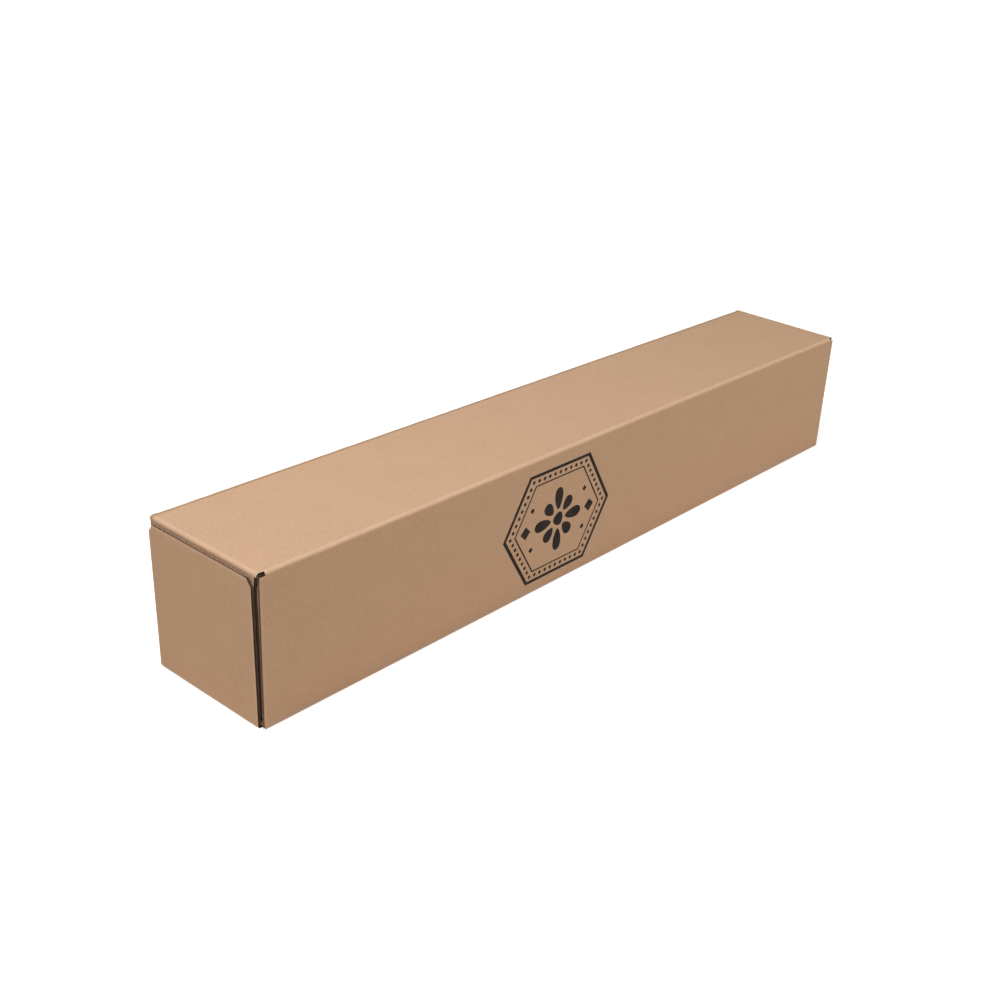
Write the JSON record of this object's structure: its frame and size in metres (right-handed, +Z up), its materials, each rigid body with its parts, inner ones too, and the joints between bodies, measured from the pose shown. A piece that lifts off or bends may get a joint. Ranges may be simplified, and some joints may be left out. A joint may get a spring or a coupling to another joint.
{
  "type": "long mailing box",
  "caption": "Long square mailing box of folded corrugated board, with a hinged lid, a front closing flap and flaps at both ends.",
  "frame": {"origin": "middle of the underside of the closed box", "axes": "+X along the box, +Y from the front flap to the back wall, +Z up"},
  "size_m": [0.5, 0.08, 0.082],
  "materials": {
    "kraft_board": "matt brown kraft liner"
  },
  "bodies": {
    "tray": {"tray": "kraft_board"},
    "lid": {"lid": "kraft_board"},
    "front_flap": {"front_flap": "kraft_board"},
    "left_end_flap": {"left_end_flap": "kraft_board"},
    "right_end_flap": {"right_end_flap": "kraft_board"}
  },
  "joints": [
    {"name": "lid_fold", "type": "hinge", "parent": "tray", "child": "lid", "pos_m": [0, 0.03965, 0.08165], "axis": [-1, 0, 0], "range_deg": [0, 135]},
    {"name": "front_flap_fold", "type": "hinge", "parent": "lid", "child": "front_flap", "pos_m": [0, -0.03965, 0.08165], "axis": [-1, 0, 0], "range_deg": [0, 135]},
    {"name": "left_end_flap_fold", "type": "hinge", "parent": "tray", "child": "left_end_flap", "pos_m": [-0.24965, 0, 0.00035], "axis": [0, -1, 0], "range_deg": [0, 90]},
    {"name": "right_end_flap_fold", "type": "hinge", "parent": "tray", "child": "right_end_flap", "pos_m": [0.24965, 0, 0.00035], "axis": [0, 1, 0], "range_deg": [0, 90]}
  ]
}
